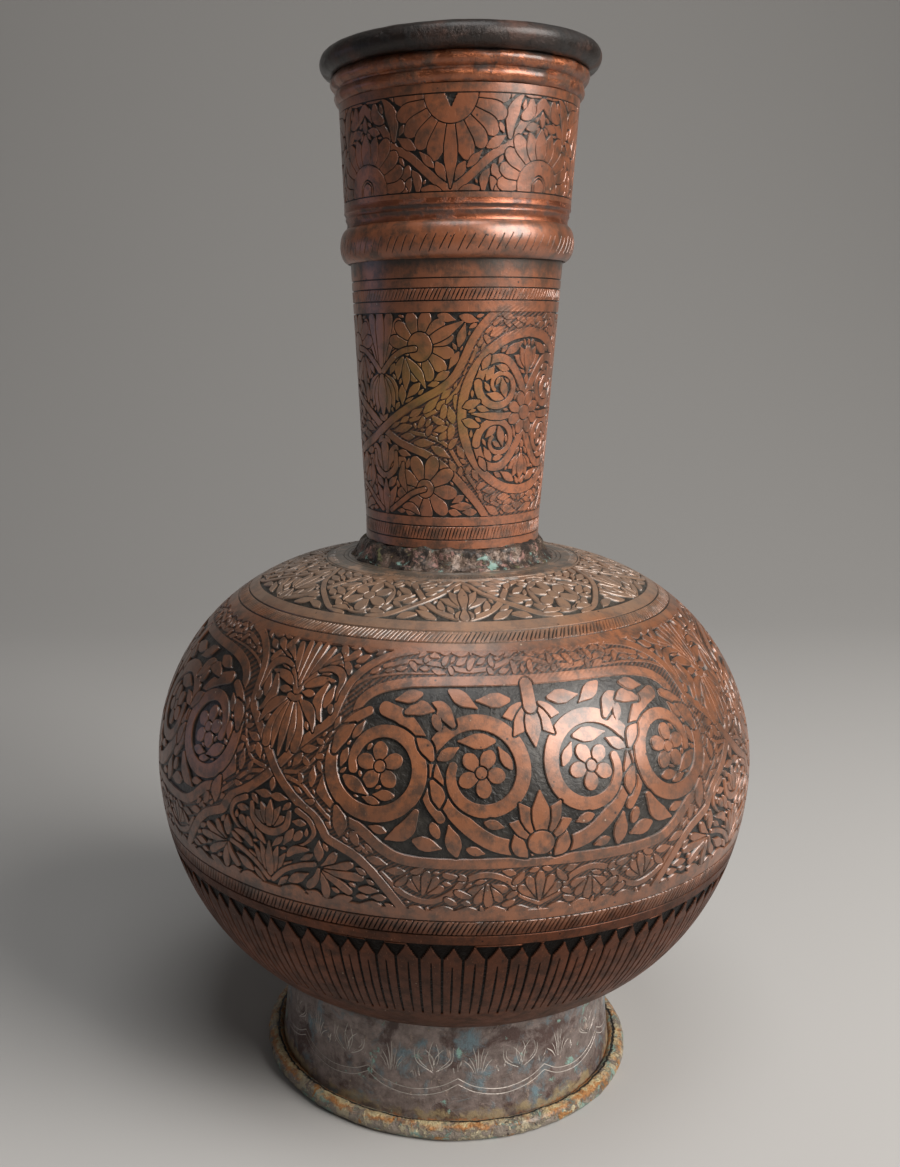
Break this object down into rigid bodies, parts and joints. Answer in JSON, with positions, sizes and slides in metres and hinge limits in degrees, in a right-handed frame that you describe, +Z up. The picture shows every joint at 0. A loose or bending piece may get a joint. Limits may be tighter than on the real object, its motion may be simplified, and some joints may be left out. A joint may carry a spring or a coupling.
{
  "type": "vase",
  "caption": "Chased copper vase with a round body, tapering neck, collar ring, cup-shaped mouth, rolled lip and a flared foot with a rolled edge.",
  "frame": {"origin": "on the table, under the middle of the foot", "axes": "+Z up along the axis of the vase; every piece is turned about it; -Y towards the viewer of the picture"},
  "size_m": [0.2534, 0.2534, 0.4196],
  "materials": {
    "copper": "chased copper, brown patina, satin on the raised parts",
    "neck_copper": "chased copper, brown patina with an olive patch",
    "mouth_copper": "chased copper, orange-brown on the bulges",
    "dark_copper": "dark brown oxidised copper, smooth",
    "worn_copper": "grey-violet worn copper with green spots",
    "solder": "lumpy dull solder with green corrosion",
    "inner_solder": "dull solder",
    "iron": "rusty iron wire"
  },
  "bodies": {
    "root": {"foot": "worn_copper", "foot_hem_wire": "iron", "foot_solder": "inner_solder", "body_bowl": "copper", "body_shoulder": "copper", "body_seam_braze": "inner_solder", "neck_solder": "solder", "neck_tube": "neck_copper", "neck_ring": "copper", "neck_cup": "mouth_copper", "mouth_rim": "dark_copper", "rim_wire": "iron"}
  },
  "joints": []
}
